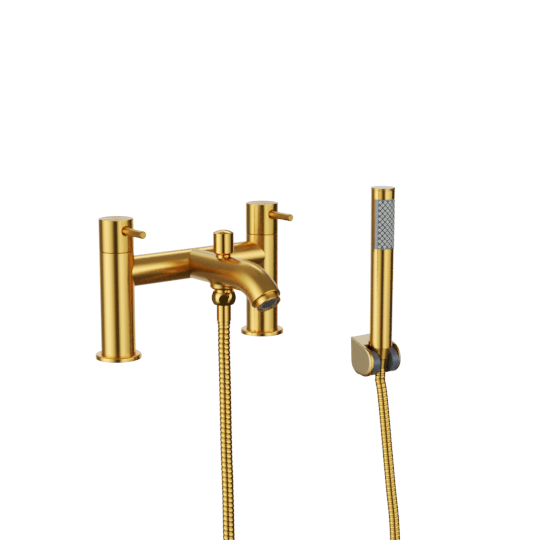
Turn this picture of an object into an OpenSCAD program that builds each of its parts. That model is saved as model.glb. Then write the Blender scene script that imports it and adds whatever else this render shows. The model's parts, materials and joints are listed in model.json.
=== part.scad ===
// Two-hole bath shower mixer with a bridge spout, a lift diverter, a ribbed hose,
// a stick handset and its tilting wall bracket. Millimetres, +Z up, -Y towards the bather.
// The origin is on the deck, midway between the two tap holes.

/* [Pillars] */
// Distance between the centres of the two tap holes
tap_centres = 180; // [160:1:220]
// Diameter of each pillar and of the handle above it
pillar_d = 34.5; // [33:0.5:38]
// Height of a pillar from the deck to the handle seam
pillar_h = 107.6; // [96:0.1:125]
// Diameter of the flange at the foot of a pillar
flange_d = 46; // [43:0.5:56]
// Height of the flange
flange_h = 4.5; // [3.5:0.1:7]
// Minor diameter of the three-quarter inch inlet thread
inlet_d = 24.12; // [20:0.01:25]
// Depth of the inlet thread
inlet_depth = 16; // [10:0.5:30]
// Diameter of the waterway up each pillar
waterway_d = 15; // [10:0.5:17]

/* [Bridge and spout] */
// Depth of the bridge axis below the handle seam
bridge_drop = 22.5; // [21:0.1:28]
// Outside diameter of the bridge
bridge_d = 31; // [30.8:0.1:32.5]
// Outside diameter of the spout
spout_d = 30.6; // [28:0.1:30.6]
// Length of the spout's straight tip after the bend
spout_tip = 4.5; // [3:0.1:10]
// Bore of the bridge and the spout
bridge_bore = 20; // [18:0.5:21]
// Straight length of the spout, from the bridge axis
spout_straight = 86.2; // [74:0.1:120]
// Radius of the spout's bend, at its axis
spout_bend_r = 46.5; // [40:0.1:70]
// Angle that the spout turns down
spout_turn = 47; // [30:0.1:60]
// Radius of the rounded lip of the spout
lip_r = 1.4; // [1:0.1:1.8]
// Outside diameter of the aerator housing
aerator_d = 25.2; // [24:0.1:25.6]
// Length of the aerator housing that stands out of the mouth
aerator_out = 5.8; // [4:0.1:10]
// Length of the aerator housing inside the mouth
aerator_in = 7; // [5:0.1:9]
// Wall of the aerator housing
aerator_wall = 2.4; // [1.5:0.1:2.8]

/* [Handles] */
// Height of a handle
handle_h = 31.7; // [30:0.1:45]
// Gap at the seam between a pillar and its handle
seam_gap = 0.4; // [0.3:0.05:1]
// Wall of the hollow foot of a handle
handle_wall = 3; // [2:0.1:3.4]
// Depth of the hollow foot of a handle
handle_hollow = 12; // [9:0.1:14]
// Diameter of the lever pin
lever_d = 7.8; // [5:0.1:9]
// Length of the lever pin outside the handle
lever_out = 31.5; // [20:0.5:60]
// Length of the lever pin inside the handle
lever_in = 8; // [5:0.5:9]
// Height of the lever's axis below the top of the handle
lever_drop = 10.7; // [8:0.1:12]
// Diameter of the dish that the lever stands in
dish_d = 10.4; // [9.5:0.1:12]
// Diameter of the grub screw that holds the handle on its spindle
grub_d = 4; // [3:0.5:5]

/* [Ceramic valves] */
// Diameter of the valve chamber at the top of a pillar
chamber_d = 23; // [22.5:0.1:24]
// Depth of the valve seat below the bridge axis
seat_drop = 20; // [19:0.1:26]
// Thickness of the rubber seal under the fixed disc
seal_t = 2.5; // [2:0.1:4]
// Diameter of the ceramic discs
disc_d = 18; // [16:0.1:19]
// Thickness of each ceramic disc
disc_t = 3.5; // [2.5:0.1:4]
// Height of the spindle's foot above the moving disc
foot_t = 4; // [3:0.1:5]
// Diameter of the spindle
spindle_d = 10; // [8:0.1:11]
// Diameter of the splined end of the spindle
spline_d = 8; // [6:0.1:8]
// Height of the spindle above the pillar
spindle_rise = 22; // [18:0.1:24]
// Height of the hexagon on the valve body
hexagon_h = 5; // [3:0.1:6]

/* [Diverter] */
// Distance from the bridge axis forward to the diverter
diverter_y = 54; // [45:0.1:58]
// Diameter of the lift knob
knob_d = 20.8; // [17:0.1:26]
// Height of the lift knob without its dome
knob_h = 21.1; // [16:0.1:30]
// Bevel round the foot of the lift knob
knob_bevel = 1.8; // [1:0.1:3]
// Height of the knob's dome
dome_h = 3; // [1:0.1:5]
// Diameter of the gland bush under the knob
bush_d = 14.6; // [12:0.1:16]
// Height of the bush above the crown of the spout
bush_rise = 1.6; // [1.2:0.1:8]
// Diameter of the diverter stem
stem_d = 6; // [5:0.1:7]
// Travel of the diverter
diverter_lift = 8; // [5:0.5:8]
// Diameter of the diverter's plunger
plunger_d = 17.4; // [16:0.1:18]
// Thickness of the plunger
plunger_t = 3; // [2:0.1:4]

/* [Shower outlet] */
// Diameter of the outlet boss under the spout
boss_d = 28; // [26:0.5:29]
// Depth of the boss below the spout
boss_drop = 2.8; // [2:0.1:8]
// Radius of the boss's lower edge
boss_round = 3.5; // [1:0.1:4]
// Radius of the webs between the boss and the spout
web_r = 7; // [4:0.1:8]
// Diameter of the outlet nipple inside the boss
nipple_d = 16.2; // [15:0.1:16.6]
// Bore of the outlet nipple
nipple_bore = 11; // [8:0.1:11.5]
// Length of the nipple that shows between the boss and the nut
nipple_neck = 2.2; // [2:0.1:5]
// Diameter of the nipple's half inch thread, at its root
thread_d = 18.8; // [18.2:0.1:19]
// Length of that thread
thread_l = 9.4; // [9:0.1:14]
// Diameter of the union nut's ball
nut_ball_d = 24.8; // [24.2:0.1:27]
// Distance across the flats of the union nut
nut_flats = 22.9; // [21.8:0.1:23.8]
// Thickness of the hose washer
washer_t = 2; // [1:0.1:3]
// Diameter of the hose ferrule
ferrule_d = 14.8; // [13.5:0.1:15.5]
// Length of the hose ferrule below the nut
ferrule_l = 16; // [10:0.5:20]

/* [Hose] */
// Outside diameter of the hose
hose_d = 13; // [11.5:0.1:13]
// Bore of the hose
hose_bore = 8.4; // [7:0.1:8.4]
// Length of one rib
rib_pitch = 7.5; // [7.5:0.1:12]
// Depth of the grooves between the ribs
rib_depth = 0.7; // [0.3:0.1:0.9]
// Mean radius of the put-away coil
coil_r = 75; // [70:1:80]
// Gap between the two passes of the coil where they cross
coil_gap = 0.8; // [0.6:0.1:2]

/* [Handset] */
// Place of the handset's axis to the right of the deck's middle
handset_x = 275.5; // [200:0.5:400]
// Place of the handset's axis behind the bridge axis
handset_y = 14; // [0:1:60]
// Diameter of the handset at its lower end
handset_low_d = 26.5; // [25:0.1:27]
// Diameter of the handset at its upper end
handset_top_d = 28; // [27:0.1:30]
// Length of the handset's tube
handset_l = 182.7; // [160:0.1:260]
// Bore of the handset's tube
handset_bore = 21.6; // [20:0.1:22]
// Height of the end cap
cap_h = 3.2; // [3:0.1:8]
// Length of the spray plate
plate_l = 57; // [40:0.5:70]
// Distance from the end cap to the spray plate
plate_inset = 9.6; // [6:0.1:20]
// Angle that the spray plate spans round the handset
plate_span = 150; // [120:1:160]
// Rows of spray nozzles in the longer columns
nozzle_rows = 9; // [5:1:10]
// Columns of spray nozzles
nozzle_columns = 9; // [5:2:9]
// Angle that the spray plate is turned from straight ahead
plate_turn = -7; // [-20:1:20]
// Distance from the end of the plate to its first row
row_margin = 3; // [2.5:0.1:6]
// Angle between two columns of nozzles
nozzle_step = 12; // [10:0.5:14]
// Width of a diamond-shaped nozzle from corner to corner
nozzle_d = 4.1; // [2:0.1:4.2]
// Diameter of the hole in a nozzle
nozzle_hole = 1.2; // [0.8:0.1:1.4]
// Height of a nozzle above the plate
nozzle_h = 0.5; // [0.3:0.1:1]
// Gap between the spray plate and the tube around it
plate_gap = 0.25; // [0.1:0.05:0.4]
// Diameter of the conical neck where it meets the tube
shoulder_d = 23.2; // [22:0.1:24]
// Diameter of the conical neck at its lower end
neck_d = 17.3; // [16:0.1:17.5]
// Length of the conical neck below the tube
neck_l = 14.2; // [13:0.1:18]
// Thickness of the black neck washer
neck_washer_t = 0.8; // [0.5:0.1:2]
// Height of the conical nut
cone_h = 10.5; // [9:0.1:16]
// Diameter of the conical nut at its lower end
cone_low_d = 14; // [14:0.1:15]
// Bore of the conical nut
cone_bore = 12.4; // [11:0.1:12.6]
// Bore of the waterway in the handset
handset_way_d = 8; // [6:0.1:8.5]

/* [Wall bracket] */
// Height of the cradle's pivot above the deck
pivot_z = -65; // [-120:0.1:60]
// Height of the foot of the handset's tube above the pivot
seat_rise = 19; // [17:0.1:21]
// Distance from the handset's axis back to the pivot
pivot_back = 4.5; // [4:0.1:5.5]
// Distance from the pivot back to the wall
wall_back = 21.5; // [20.5:0.1:26]
// Radius of the cradle's prongs about the pivot
prong_r = 15.2; // [14.4:0.1:15.3]
// Radius of the cradle's hub behind the prongs
hub_r = 13.5; // [12:0.1:14]
// Width of the cradle
cradle_w = 40; // [38:0.1:48]
// Width of the slot between the prongs
slot_w = 19.5; // [18.5:0.1:20.5]
// Thickness of a cheek of the shell, without its bevel
cheek_t = 1.2; // [1:0.1:3]
// Height of the bevelled face of a cheek
bevel_t = 2.5; // [1.5:0.1:3]
// Radius of a cheek's round nose about the pivot
cheek_r = 15.6; // [15.5:0.1:16.5]
// Radius of the brow above the nose
brow_r = 17.5; // [16.5:0.1:18]
// Radius of a cheek's heel, low at the wall
heel_r = 12.6; // [10:0.1:13]
// Width of the dark crescent round the heel
tail_t = 1.2; // [0.8:0.1:1.6]
// Height of the top corner of a cheek above the pivot
corner_z = 28.9; // [28:0.1:34]
// Thickness of the wall plate
plate_back_t = 2.4; // [1.5:0.1:3]
// Diameter of the pivot pins
pin_d = 6; // [4:0.1:8]
// Depth of a pivot pin in a cheek
pin_seat = 2.2; // [1.5:0.1:2.4]
// Depth of a pivot pin in the cradle
pin_in = 6; // [4:0.1:8]
// Diameter of the two wall screw holes
screw_d = 4.5; // [3:0.1:5]
// Distance between the two wall screw holes
screw_pitch = 14; // [12:0.5:15]
// Height of the middle of the wall screws above the pivot
screw_rise = 9; // [8:0.1:10]

/* [Fits] */
// Radial gap of a shaft that turns or slides in its hole
running = 0.05; // [0.02:0.01:0.08]
// Gap between two pieces that are fixed to each other
seat_gap = 0.05; // [0.02:0.01:0.1]
// Gap between two bodies that pass each other
body_gap = 0.3; // [0.2:0.05:0.4]

/* [Hidden] */
$fn = 96;

brass = "goldenrod";
ceramic = "white";
rubber = "dimgray";
grey_plastic = "slategray";
pale_plastic = "lightslategray";
steel = "silver";

pillar_r = pillar_d / 2;
bridge_r = bridge_d / 2;
bore_r = bridge_bore / 2;
spindle_r = spindle_d / 2;
edge = 0.5;
over = 1;

// Valve stack, from the seat up
bridge_z = pillar_h - bridge_drop;
seat_z = bridge_z - seat_drop;
fixed_disc_z = seat_z + seal_t;
moving_disc_z = fixed_disc_z + disc_t + running;
foot_z = moving_disc_z + disc_t;
gland_z = bridge_z + bore_r - 2;
valve_flange_t = 1.5;
valve_flange_r = chamber_d / 2 + 1;
window_w = 11;
port_r = 2.3;
port_reach = disc_d / 4;
spindle_seal_r = 0.9;
spindle_seal_z = (gland_z + pillar_h) / 2;

// Handle
handle_z = pillar_h + seam_gap;
handle_top = handle_z + handle_h;
hollow_top = handle_z + handle_hollow;
lever_z = handle_top - lever_drop;
grub_z = hollow_top + grub_d / 2 + over;
lever_edge = 0.8;
dish_depth = 1.2;

// Diverter and outlet, from the boss up
spout_r = spout_d / 2;
spout_crown = bridge_z + spout_r;
boss_z = bridge_z - spout_r - boss_drop;
bush_top = spout_crown + bush_rise;
knob_z = bush_top + seam_gap;
divert_seat_z = bridge_z - bore_r - 2.3;
divert_seal_t = 1.5;
plunger_z = divert_seat_z + divert_seal_t + seat_gap;
closed_spring = 7.75;
bush_z = plunger_z + plunger_t + diverter_lift + closed_spring;
stem_grip = 12;
well_r = plunger_d / 2 + 0.5;
spring_r = 5;
spring_wire = 1.1;
spring_turns = 4;

// Union, from the boss down
nipple_end = boss_z - thread_l;
washer_z = nipple_end - washer_t;
collar_t = 1.5;
collar_z = washer_z - collar_t;
nut_floor_t = 2.5;
nut_z = collar_z - nut_floor_t;
nut_top = boss_z - nipple_neck;
nut_ball_z = (nut_z + nut_top) / 2;
nut_turn = -7.3;
mixer_hose_z = nut_z - ferrule_l - 4;

// Middle of the spout's mouth, at the end of its straight tip
mouth = [
    0,
    -spout_straight - spout_bend_r * sin(spout_turn) - spout_tip * cos(spout_turn),
    bridge_z - spout_bend_r * (1 - cos(spout_turn)) - spout_tip * sin(spout_turn)
];
lip_arc = [for (a = [0:15:90]) lip_r * [cos(a), sin(a)]];

// Handset, from the bracket's pivot up and down
tube_z = pivot_z + seat_rise;
spigot_l = 12;
tube_top = tube_z + handset_l;
plate_z = tube_top - plate_inset - plate_l;
plate_top = plate_z + plate_l;
plate_taper = (handset_top_d - handset_low_d) / handset_l;
plate_r = (handset_low_d + plate_taper * (plate_top - tube_z)) / 2 - nozzle_h + 0.1;
plate_in_r = handset_bore / 2 + seat_gap;
neck_end = tube_z - neck_l;
cone_top = neck_end - neck_washer_t;
cone_z = cone_top - cone_h;
tail_d = cone_bore - 2.2;
spigot_t = 2;
swivel_z = cone_z + 3;
handset_hose_z = cone_z - 3;
handset_hose = [handset_x, handset_y, handset_hose_z - body_gap];

// Bracket
pivot = [handset_x, handset_y + pivot_back, pivot_z];
cheek_x = cradle_w / 2 + body_gap;
cover_front = 2.5;
cover_t = 2;
cover_z = corner_z - 7;
heel = [wall_back - heel_r - tail_t, -1.5];

// A turned piece, from a list of [radius, height] points
module turned(profile) {
    rotate_extrude() polygon(profile);
}

module ring(outer_r, inner_r, height) {
    difference() {
        cylinder(r = outer_r, h = height);
        translate([0, 0, -over]) cylinder(r = inner_r, h = height + 2 * over);
    }
}

module at_pillar(side) {
    translate([side * tap_centres / 2, 0, 0]) children();
}

module at_diverter() {
    translate([0, -diverter_y, 0]) children();
}

module at_mouth() {
    translate(mouth) rotate([90 + spout_turn, 0, 0]) children();
}

module at_handset() {
    translate([handset_x, handset_y, 0]) children();
}

// Places its child at the pivot, with local X back to the wall, local Y up and local Z to the right
module at_pivot() {
    translate(pivot) rotate([0, 0, 90]) rotate([90, 0, 0]) children();
}

// Pillars

module pillar(side) {
    at_pillar(side) difference() {
        turned([
            [0, 0], [pillar_r, 0], [pillar_r, pillar_h - edge],
            [pillar_r - edge, pillar_h], [0, pillar_h]
        ]);
        translate([0, 0, -over]) cylinder(d = inlet_d, h = inlet_depth + over);
        cylinder(d = waterway_d, h = pillar_h);
        translate([0, 0, seat_z]) cylinder(d = chamber_d, h = pillar_h);
        translate([0, 0, bridge_z]) rotate([0, -side * 90, 0]) cylinder(r = bore_r, h = pillar_d);
    }
}

module left_pillar() { color(brass) pillar(-1); }
module right_pillar() { color(brass) pillar(1); }

flange_round = 1.6;
flange_arc = [for (a = [0:15:90]) flange_round * [cos(a), sin(a)]];
base_seal_h = 1.5;
base_seal_in = pillar_r + 1.5;
base_seal_out = flange_d / 2 - 1.5;

module base_flange(side) {
    at_pillar(side) difference() {
        turned(concat(
            [[pillar_r + seat_gap, 0], [flange_d / 2, 0]],
            [for (p = flange_arc) [flange_d / 2 - flange_round, flange_h - flange_round] + p],
            [[pillar_r + seat_gap, flange_h]]
        ));
        translate([0, 0, -over]) ring(base_seal_out + seat_gap, base_seal_in - seat_gap, base_seal_h + over);
    }
}

module left_base_flange() { color(brass) base_flange(-1); }
module right_base_flange() { color(brass) base_flange(1); }

module base_seals() {
    color(rubber) for (side = [-1, 1])
        at_pillar(side) ring(base_seal_out, base_seal_in, base_seal_h);
}

// Ceramic valves

module valve_body(side) {
    sleeve_r = chamber_d / 2 - seat_gap;
    at_pillar(side) difference() {
        union() {
            translate([0, 0, fixed_disc_z]) cylinder(r = sleeve_r, h = pillar_h - fixed_disc_z);
            translate([0, 0, pillar_h]) cylinder(r = valve_flange_r, h = valve_flange_t);
            translate([0, 0, pillar_h + valve_flange_t])
                cylinder(r = valve_flange_r - edge, h = hexagon_h, $fn = 6);
        }
        translate([0, 0, fixed_disc_z - over])
            cylinder(r = disc_d / 2 + running, h = gland_z - fixed_disc_z + over);
        cylinder(r = spindle_r + running, h = handle_top);
        translate([-chamber_d, -window_w / 2, foot_z + foot_t])
            cube([2 * chamber_d, window_w, gland_z - foot_z - foot_t]);
    }
}

module left_valve_body() { color(brass) valve_body(-1); }
module right_valve_body() { color(brass) valve_body(1); }

// A ceramic disc with its two ports on the line at this angle
module ceramic_disc(side, z, angle) {
    at_pillar(side) translate([0, 0, z]) rotate([0, 0, angle]) difference() {
        cylinder(d = disc_d, h = disc_t);
        for (reach = [-port_reach, port_reach])
            translate([reach, 0, -over]) cylinder(r = port_r, h = disc_t + 2 * over);
    }
}

module left_fixed_disc() { color(ceramic) ceramic_disc(-1, fixed_disc_z, 0); }
module right_fixed_disc() { color(ceramic) ceramic_disc(1, fixed_disc_z, 0); }
module left_moving_disc() { color(ceramic) ceramic_disc(-1, moving_disc_z, 90); }
module right_moving_disc() { color(ceramic) ceramic_disc(1, moving_disc_z, 90); }

module seat_seals() {
    color(rubber) for (side = [-1, 1]) at_pillar(side)
        translate([0, 0, seat_z]) ring(chamber_d / 2 - seat_gap, waterway_d / 2, seal_t);
}

module spindle(side) {
    spindle_top = pillar_h + spindle_rise;
    shaft_top = pillar_h + valve_flange_t + hexagon_h;
    groove = spindle_seal_r + seat_gap;
    at_pillar(side) difference() {
        turned([
            [0, foot_z], [disc_d / 2, foot_z], [disc_d / 2, foot_z + foot_t], [spindle_r, foot_z + foot_t],
            [spindle_r, spindle_seal_z - groove], [spindle_r - 2 * spindle_seal_r, spindle_seal_z - groove],
            [spindle_r - 2 * spindle_seal_r, spindle_seal_z + groove], [spindle_r, spindle_seal_z + groove],
            [spindle_r, shaft_top], [spline_d / 2, shaft_top], [spline_d / 2, spindle_top], [0, spindle_top]
        ]);
        rotate([0, 0, 90]) for (reach = [-port_reach, port_reach])
            translate([reach, 0, 0]) cylinder(r = port_r, h = foot_z + foot_t + over);
    }
}

module left_spindle() { color(brass) spindle(-1); }
module right_spindle() { color(brass) spindle(1); }

module spindle_seal(side) {
    at_pillar(side) translate([0, 0, spindle_seal_z]) rotate_extrude()
        translate([spindle_r - spindle_seal_r, 0]) circle(r = spindle_seal_r - seat_gap, $fn = 32);
}

module left_spindle_seal() { color(rubber) spindle_seal(-1); }
module right_spindle_seal() { color(rubber) spindle_seal(1); }

// Handles

module handle(side) {
    spline_r = spline_d / 2 + seat_gap;
    dish_slope = (dish_d - lever_d) / 2;
    at_pillar(side) difference() {
        turned([
            [0, handle_z], [pillar_r - edge, handle_z], [pillar_r, handle_z + edge],
            [pillar_r, handle_top - 2 * edge], [pillar_r - edge / 2, handle_top - edge / 2],
            [pillar_r - 2 * edge, handle_top], [0, handle_top]
        ]);
        translate([0, 0, handle_z - over]) cylinder(r = pillar_r - handle_wall, h = handle_hollow + over);
        cylinder(r = spline_r, h = pillar_h + spindle_rise + seat_gap);
        translate([0, 0, lever_z]) rotate([90, 0, 0]) {
            translate([0, 0, pillar_r - lever_in - seat_gap])
                cylinder(r = lever_d / 2 + seat_gap, h = lever_in + over);
            translate([0, 0, pillar_r - dish_depth])
                cylinder(r1 = lever_d / 2 + seat_gap, r2 = dish_d / 2, h = dish_depth);
            translate([0, 0, pillar_r - seat_gap]) cylinder(d = dish_d, h = over);
        }
        translate([0, 0, grub_z]) rotate([-90, 0, 0])
            cylinder(r = grub_d / 2 + seat_gap, h = pillar_r + over);
    }
}

module left_handle() { color(brass) handle(-1); }
module right_handle() { color(brass) handle(1); }

module lever(side) {
    lever_r = lever_d / 2;
    tip = pillar_r + lever_out;
    at_pillar(side) translate([0, 0, lever_z]) rotate([90, 0, 0]) turned([
        [0, pillar_r - lever_in], [lever_r, pillar_r - lever_in], [lever_r, tip - lever_edge],
        [lever_r - lever_edge, tip], [0, tip]
    ]);
}

module left_lever() { color(brass) lever(-1); }
module right_lever() { color(brass) lever(1); }

module grub_screw(side) {
    key_d = grub_d / 2;
    grub_tip = spline_d / 2 + seat_gap;
    grub_l = pillar_r - over - grub_tip;
    at_pillar(side) translate([0, 0, grub_z]) rotate([-90, 0, 0]) translate([0, 0, grub_tip]) difference() {
        cylinder(d = grub_d, h = grub_l);
        translate([0, 0, grub_l - grub_d / 2]) cylinder(d = key_d, h = grub_d, $fn = 6);
    }
}

module left_grub_screw() { color(steel) grub_screw(-1); }
module right_grub_screw() { color(steel) grub_screw(1); }

// Bridge and spout

module bridge_tube() {
    color(brass) difference() {
        translate([-tap_centres / 2, 0, bridge_z]) rotate([0, 90, 0]) ring(bridge_r, bore_r, tap_centres);
        for (side = [-1, 1]) at_pillar(side) cylinder(r = pillar_r + seat_gap, h = pillar_h);
        translate([0, 0, bridge_z]) rotate([90, 0, 0]) cylinder(r = bore_r, h = bridge_d);
    }
}

// The spout's path as a round bar: straight, then bent down to the mouth
module spout_bar(radius) {
    translate([0, 0, bridge_z]) rotate([90, 0, 0]) cylinder(r = radius, h = spout_straight);
    translate([0, -spout_straight, bridge_z - spout_bend_r]) rotate([0, 0, 180]) rotate([0, -90, 0])
        rotate_extrude(angle = spout_turn) translate([spout_bend_r, 0]) circle(r = radius);
}

// The cast webs that carry the sides of the boss into the spout
module boss_web() {
    boss_r = boss_d / 2;
    half_w = boss_r - 0.15;
    low = bridge_z - spout_r + 2;
    at_diverter() intersection() {
        turned(concat(
            [[0, low]],
            [for (a = [0:15:75]) [boss_r + web_r * (1 - cos(a)), low + web_r * sin(a)]],
            [[boss_r + web_r * (1 - cos(75)), bridge_z], [0, bridge_z]]
        ));
        translate([-half_w, -boss_d, low - over]) cube([2 * half_w, 2 * boss_d, bridge_z - low]);
    }
}

module spout() {
    boss_r = boss_d / 2;
    tip_r = spout_r + 0.1;
    color(brass) difference() {
        union() {
            spout_bar(spout_r);
            at_mouth() turned(concat(
                [[0, -spout_tip - lip_r], [tip_r, -spout_tip - lip_r]],
                [for (p = lip_arc) [tip_r - lip_r, -lip_r] + p],
                [[0, 0]]
            ));
            at_diverter() turned(concat(
                [[0, boss_z]],
                [for (a = [-90:15:0])
                    [boss_r - boss_round, boss_z + boss_round] + boss_round * [cos(a), sin(a)]],
                [[boss_r, bridge_z], [0, bridge_z]]
            ));
            boss_web();
        }
        translate([-tap_centres / 2, 0, bridge_z]) rotate([0, 90, 0])
            cylinder(r = bridge_r + seat_gap, h = tap_centres);
        spout_bar(bore_r);
        at_mouth() translate([0, 0, -aerator_in - seal_t])
            cylinder(r = aerator_d / 2 + seat_gap, h = aerator_in + seal_t + over);
        at_diverter() {
            cylinder(r = nipple_d / 2 + seat_gap, h = divert_seat_z);
            translate([0, 0, divert_seat_z]) cylinder(r = well_r, h = bridge_z - divert_seat_z);
            translate([0, 0, bridge_z]) cylinder(r = bush_d / 2 + seat_gap, h = bridge_d);
            translate([0, 0, spout_crown - 1.2]) cylinder(r = bush_d / 2 + over, h = bridge_d);
        }
    }
}

module aerator_housing() {
    housing_r = aerator_d / 2;
    notch = 3;
    color(brass) at_mouth() difference() {
        translate([0, 0, -aerator_in]) turned([
            [housing_r - aerator_wall, 0], [housing_r, 0], [housing_r, aerator_in + aerator_out - edge],
            [housing_r - edge, aerator_in + aerator_out],
            [housing_r - aerator_wall, aerator_in + aerator_out]
        ]);
        for (turn = [0, 180]) rotate([0, 0, turn + 20])
            translate([housing_r - aerator_wall / 2, -notch / 2, over])
                cube([notch, notch, aerator_out - 2 * over]);
    }
}

module aerator_insert() {
    insert_r = aerator_d / 2 - aerator_wall - seat_gap;
    insert_h = aerator_in + aerator_out - over;
    insert_wall = 1.3;
    hole_r = 0.7;
    color(grey_plastic) at_mouth() translate([0, 0, -aerator_in]) difference() {
        cylinder(r = insert_r, h = insert_h);
        translate([0, 0, -over]) cylinder(r = insert_r - insert_wall, h = insert_h - insert_wall);
        for (circle_i = [1:3], i = [0:6 * circle_i - 1]) rotate([0, 0, i * 60 / circle_i])
            translate([circle_i * insert_r / 4, 0, 0]) cylinder(r = hole_r, h = insert_h + over, $fn = 6);
    }
}

module aerator_washer() {
    color(rubber) at_mouth() translate([0, 0, -aerator_in - seal_t])
        ring(aerator_d / 2 - seat_gap, bore_r - over, seal_t);
}

// Diverter

module diverter_bush() {
    bush_r = bush_d / 2;
    color(brass) at_diverter() turned([
        [stem_d / 2 + running, bush_z], [bush_r, bush_z], [bush_r, bush_top - edge],
        [bush_r - edge, bush_top], [stem_d / 2 + running, bush_top]
    ]);
}

module diverter_knob() {
    knob_r = knob_d / 2;
    dome_r = (knob_r * knob_r + dome_h * dome_h) / (2 * dome_h);
    color(brass) at_diverter() difference() {
        intersection() {
            turned([
                [0, knob_z], [knob_r - knob_bevel, knob_z], [knob_r, knob_z + knob_bevel],
                [knob_r, knob_z + knob_h + dome_h], [0, knob_z + knob_h + dome_h]
            ]);
            translate([0, 0, knob_z + knob_h + dome_h - dome_r]) sphere(r = dome_r, $fn = 128);
        }
        cylinder(r = stem_d / 2 + seat_gap, h = knob_z + stem_grip);
    }
}

module diverter_stem() {
    color(steel) at_diverter() translate([0, 0, plunger_z])
        cylinder(d = stem_d, h = knob_z + stem_grip - plunger_z);
}

module diverter_plunger() {
    color(brass) at_diverter() translate([0, 0, plunger_z])
        ring(plunger_d / 2, stem_d / 2 + seat_gap, plunger_t);
}

module diverter_seal() {
    color(rubber) at_diverter() translate([0, 0, divert_seat_z + seat_gap])
        ring(plunger_d / 2 - over, nipple_bore / 2 - over, divert_seal_t);
}

// Swept tubes

function unit(v) = v / norm(v);

// One closed ring of points round a path point, square to its direction
function ring_at(p, t, side_dir, r, sides) =
    let (a = unit(side_dir - (side_dir * t) * t), b = cross(t, a))
    [for (k = [0:sides - 1]) p + r * (cos(k * 360 / sides) * a + sin(k * 360 / sides) * b)];

// Side triangles between ring i and ring i + 1, counted from a first point
function band(first, i, sides) = [
    for (k = [0:sides - 1])
        let (a = first + i * sides + k, b = first + i * sides + (k + 1) % sides)
        each [[a, a + sides, b], [b, a + sides, b + sides]]
];

function flipped(faces) = [for (f = faces) [f[2], f[1], f[0]]];

function cap(first, sides) = [for (k = [1:sides - 2]) [first, first + k, first + k + 1]];

// A solid swept wire through points, with one side direction for the whole path
module wire(path, side_dir, r, sides) {
    n = len(path);
    dirs = [for (i = [0:n - 1]) unit(path[min(i + 1, n - 1)] - path[max(i - 1, 0)])];
    points = [for (i = [0:n - 1]) each ring_at(path[i], dirs[i], side_dir, r, sides)];
    faces = concat(
        [for (i = [0:n - 2]) each band(0, i, sides)],
        cap(0, sides),
        flipped(cap((n - 1) * sides, sides))
    );
    polyhedron(points, faces);
}

module diverter_spring() {
    low = plunger_z + plunger_t + seat_gap + spring_wire / 2;
    high = bush_z - seat_gap - spring_wire / 2;
    steps = spring_turns * 8;
    path = [for (i = [0:steps])
        [spring_r * cos(i * 45), spring_r * sin(i * 45), low + (high - low) * i / steps]];
    color(steel) at_diverter() wire(path, [0, 0, 1], spring_wire / 2, 6);
}

// Shower outlet and union

module outlet_nipple() {
    color(brass) at_diverter() turned([
        [nipple_bore / 2, nipple_end], [thread_d / 2, nipple_end], [thread_d / 2, boss_z],
        [nipple_d / 2, boss_z], [nipple_d / 2, divert_seat_z], [nipple_bore / 2, divert_seat_z]
    ]);
}

module hose_washer() {
    color(rubber) at_diverter() translate([0, 0, washer_z])
        ring(thread_d / 2 - seat_gap, hose_bore / 2, washer_t);
}

module union_nut() {
    color(brass) at_diverter() difference() {
        intersection() {
            translate([0, 0, nut_ball_z]) sphere(d = nut_ball_d, $fn = 128);
            translate([0, 0, nut_z]) rotate([0, 0, nut_turn + 30])
                cylinder(r = nut_flats / 2 / cos(30), h = nut_top - nut_z, $fn = 6);
        }
        translate([0, 0, collar_z]) cylinder(r = thread_d / 2 + seat_gap, h = nut_ball_d);
        translate([0, 0, nut_z - over]) cylinder(r = ferrule_d / 2 + seat_gap, h = nut_ball_d);
    }
}

module mixer_ferrule() {
    ferrule_r = ferrule_d / 2;
    bead_h = 1.3;
    low = mixer_hose_z;
    color(brass) at_diverter() turned([
        [hose_bore / 2, low], [hose_d / 2 + edge, low], [hose_d / 2 + edge, low + bead_h],
        [hose_d / 2, low + bead_h], [hose_d / 2, low + 2 * bead_h], [ferrule_r - edge, low + 2 * bead_h],
        [ferrule_r, low + 2 * bead_h + edge], [ferrule_r, collar_z],
        [thread_d / 2 - edge, collar_z], [thread_d / 2 - edge, washer_z], [hose_bore / 2, washer_z]
    ]);
}

// Hose route: hanging points chosen by hand, the coil by formula

lay_z = -354;
coil_centre = [137, -38];
coil_start = 246;
coil_sweep = 425;
coil_rise = hose_d + coil_gap;
climb_from = 235;
climb_to = 325;
lead = 13;
hose_sides = 8;

// From the mixer's ferrule down and over towards the coil
mixer_points = [
    [0, -54, 6], [0, -55, -20], [0, -56, -60], [0, -57, -100], [0, -59, -140], [0, -60, -180],
    [0, -61, -220], [0, -61, -260], [1, -61, -290], [7, -63, -323], [27, -71, -345], [54, -82, -354]
];
// From the coil up to the handset's ferrule
handset_points = [
    [222, -64, -340], [246, -42, -333], [264, -27, -314], [273, -19, -287], [275, -14, -250],
    [275, -8, -215], [275, -1, -170], [275, 5, -130], [275, 10, -100]
];

function smooth(t) = t * t * (3 - 2 * t);
function coil_z(angle) =
    lay_z + coil_rise * smooth(max(0, min(1, (angle - climb_from) / (climb_to - climb_from))));
function coil_point(angle) = [
    coil_centre.x + coil_r * cos(coil_start + angle),
    coil_centre.y + coil_r * sin(coil_start + angle),
    coil_z(angle)
];
function coil_dir(angle) = [-sin(coil_start + angle), cos(coil_start + angle), 0];

coil_in = coil_point(0) - lead * coil_dir(0);
coil_out = coil_point(coil_sweep) + lead * coil_dir(coil_sweep);

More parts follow.
